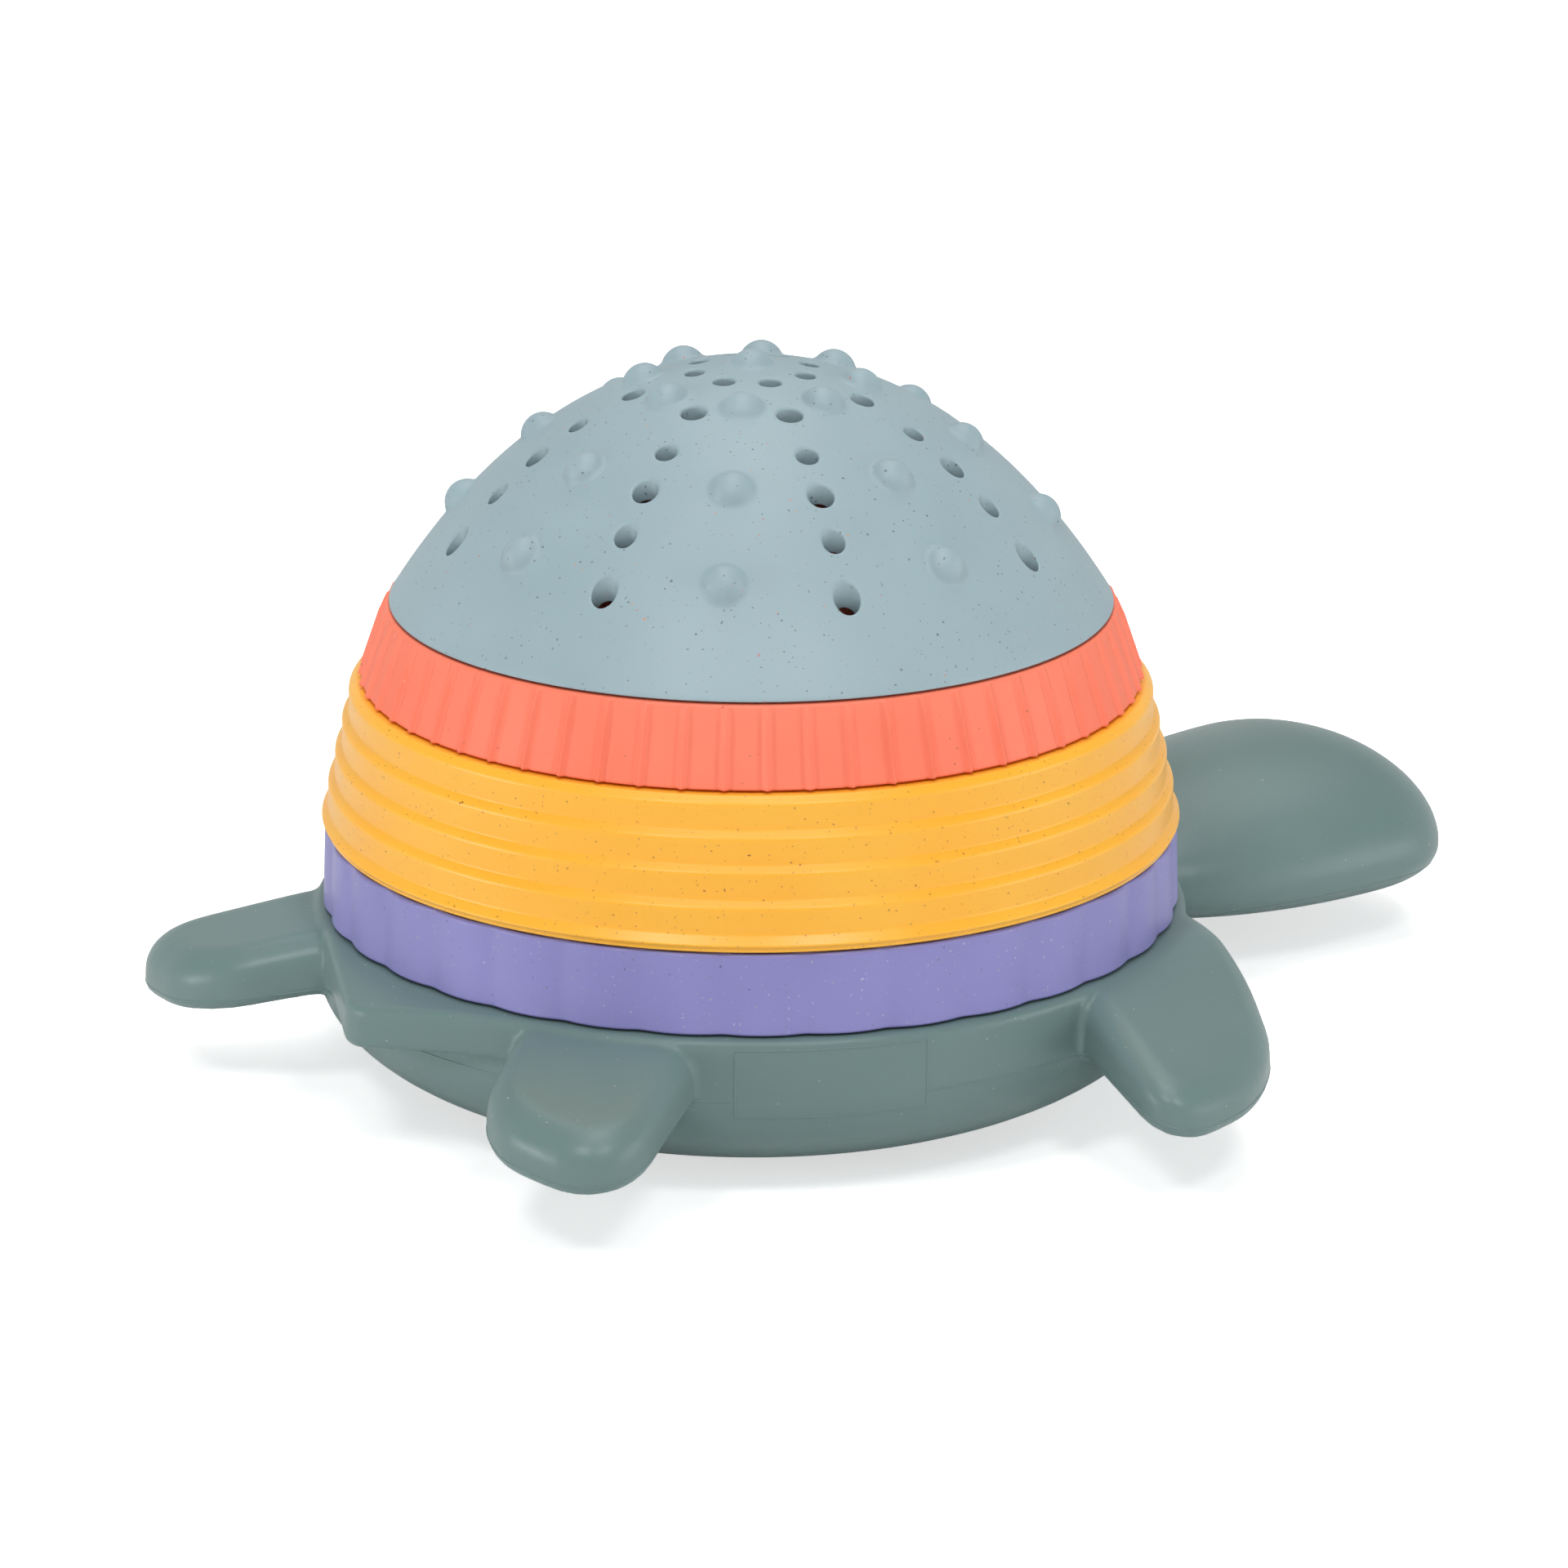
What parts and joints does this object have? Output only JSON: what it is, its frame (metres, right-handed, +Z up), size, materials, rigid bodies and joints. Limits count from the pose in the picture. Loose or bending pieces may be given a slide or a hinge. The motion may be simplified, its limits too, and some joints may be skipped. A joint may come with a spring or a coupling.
{
  "type": "turtle stacking toy",
  "caption": "Turtle-shaped stacking bath toy: a soft floating turtle base carries shell layers with lobed, banded and ribbed walls under a bumpy sieve dome, and each layer lifts off.",
  "frame": {"origin": "on the stack's axis, in the plane of the hull's flat foot", "axes": "+Z up along the stack's axis, +X towards the turtle's head, +Y to the turtle's left"},
  "size_m": [0.1836, 0.1618, 0.0979],
  "materials": {
    "turtle_base": "matte soft silicone with fine dust specks",
    "lobed_ring": "satin moulded plastic with fine natural fibre specks",
    "banded_ring": "satin moulded plastic with fine natural fibre specks",
    "ribbed_ring": "satin moulded plastic with fine natural fibre specks",
    "sieve_dome": "satin moulded plastic with fine natural fibre specks"
  },
  "bodies": {
    "turtle_base": {"turtle_base": "turtle_base"},
    "lobed_ring": {"lobed_ring": "lobed_ring"},
    "banded_ring": {"banded_ring": "banded_ring"},
    "ribbed_ring": {"ribbed_ring": "ribbed_ring"},
    "sieve_dome": {"sieve_dome": "sieve_dome"}
  },
  "joints": [
    {"name": "lobed_ring_lift", "type": "slide", "parent": "turtle_base", "child": "lobed_ring", "axis": [0, 0, 1], "range_m": [0, 0.05]},
    {"name": "banded_ring_lift", "type": "slide", "parent": "lobed_ring", "child": "banded_ring", "axis": [0, 0, 1], "range_m": [0, 0.05]},
    {"name": "ribbed_ring_lift", "type": "slide", "parent": "banded_ring", "child": "ribbed_ring", "axis": [0, 0, 1], "range_m": [0, 0.05]},
    {"name": "sieve_dome_lift", "type": "slide", "parent": "ribbed_ring", "child": "sieve_dome", "axis": [0, 0, 1], "range_m": [0, 0.05]}
  ]
}
